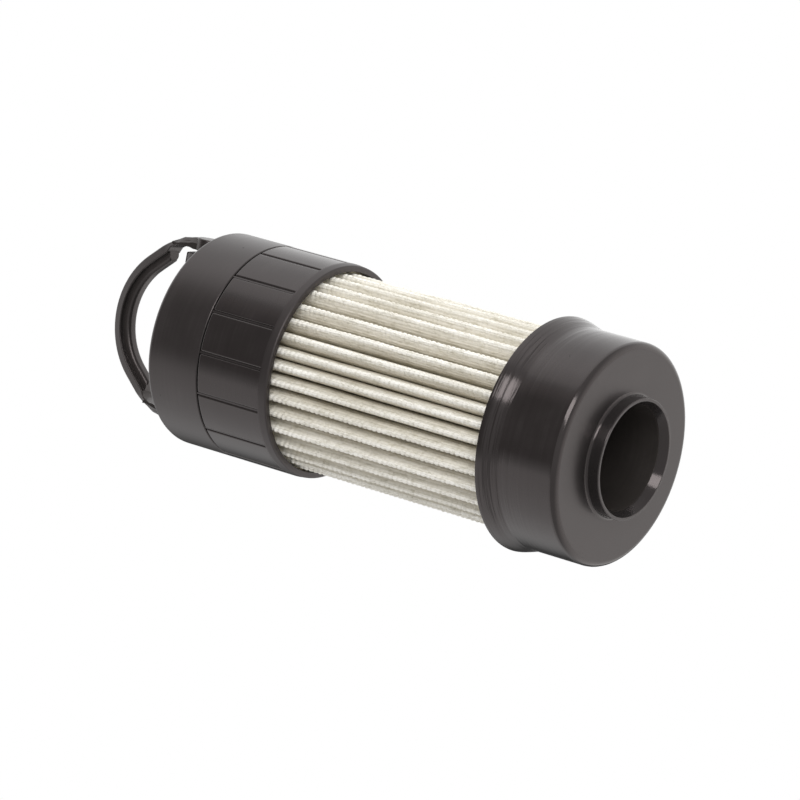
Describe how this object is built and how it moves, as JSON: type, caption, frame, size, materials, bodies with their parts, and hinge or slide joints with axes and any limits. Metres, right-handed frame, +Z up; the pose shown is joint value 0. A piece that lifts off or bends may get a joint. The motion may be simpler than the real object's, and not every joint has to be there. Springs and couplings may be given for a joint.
{
  "type": "hydraulic filter element",
  "caption": "Pleated hydraulic return-line filter element between black moulded caps, with a flared lower cup, a nozzle bore, a slit-fingered collar and a bail handle.",
  "frame": {"origin": "centre of the nozzle's lip, where the element stands", "axes": "+Z up along the element's axis from the nozzle to the bail; X along the bail's pins; Y across them"},
  "size_m": [0.0936, 0.0936, 0.2566],
  "materials": {
    "cap": "satin moulded nylon",
    "bail": "satin moulded nylon",
    "media": "mesh-faced pleated media",
    "steel": "zinc-plated sheet",
    "adhesive": "cured adhesive",
    "seal": "smooth rubber",
    "valve": "moulded valve parts",
    "wire": "spring steel"
  },
  "bodies": {
    "element": {"bottom_cap": "cap", "finger_collar": "cap", "head_cap": "cap", "pleat_pack": "media", "seam_bead": "adhesive", "lower_potting": "adhesive", "upper_potting": "adhesive", "core_tube": "steel", "nozzle_oring": "seal", "neck_oring": "seal", "spring_guide": "valve", "bypass_spring": "wire", "retaining_ring": "wire"},
    "bail": {"bail_handle": "bail"},
    "poppet": {"bypass_poppet": "valve", "poppet_seal": "seal"}
  },
  "joints": [
    {"name": "bail_hinge", "type": "hinge", "parent": "element", "child": "bail", "pos_m": [0, 0, 0.2184], "axis": [1, 0, 0], "range_deg": [-100, 100]},
    {"name": "bypass_slide", "type": "slide", "parent": "element", "child": "poppet", "axis": [0, 0, 1], "range_m": [-0.008, 0], "stiffness_N_per_m": 250, "springref_m": 0.006, "deforming": ["bypass_spring"]}
  ]
}
